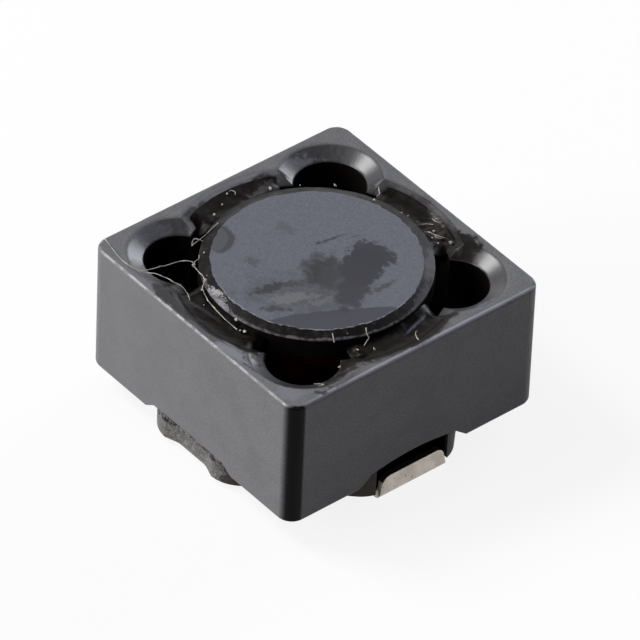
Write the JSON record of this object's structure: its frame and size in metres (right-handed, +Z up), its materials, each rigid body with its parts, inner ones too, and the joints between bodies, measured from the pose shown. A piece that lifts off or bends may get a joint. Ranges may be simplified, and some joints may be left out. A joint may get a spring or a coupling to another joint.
{
  "type": "shielded smd inductor",
  "caption": "Square shielded surface-mount power inductor: a wound ferrite drum in a square ferrite ring, on a moulded base with a tinned solder terminal at each end.",
  "frame": {"origin": "on the board's surface, under the middle of the square ring", "axes": "+Z up, away from the board; +X from the middle to one terminal, -X to the other"},
  "size_m": [0.0074, 0.0074, 0.0042],
  "materials": {
    "ferrite_ring": "pressed and sintered ferrite, tumbled, satin dark grey",
    "ferrite_drum": "ground ferrite, satin blue grey",
    "enamelled_copper": "copper under dark red-brown enamel",
    "moulded_base": "moulded mineral-filled resin, rough dark grey",
    "tinned_strip": "matte tin plate on copper alloy strip",
    "solder": "dull solder under brown flux",
    "dark_adhesive": "cured epoxy, glossy brown black"
  },
  "bodies": {
    "root": {"shield_core": "ferrite_ring", "drum_core": "ferrite_drum", "winding": "enamelled_copper", "lead_wire_pos_x": "enamelled_copper", "lead_wire_neg_x": "enamelled_copper", "base": "moulded_base", "terminal_pos_x": "tinned_strip", "terminal_neg_x": "tinned_strip", "solder_pos_x": "solder", "solder_neg_x": "solder", "adhesive_pos_x": "dark_adhesive", "adhesive_neg_x": "dark_adhesive", "adhesive_pos_y": "dark_adhesive", "adhesive_neg_y": "dark_adhesive", "drum_bond": "dark_adhesive", "shield_bond_pos_y": "dark_adhesive", "shield_bond_neg_y": "dark_adhesive"}
  },
  "joints": []
}
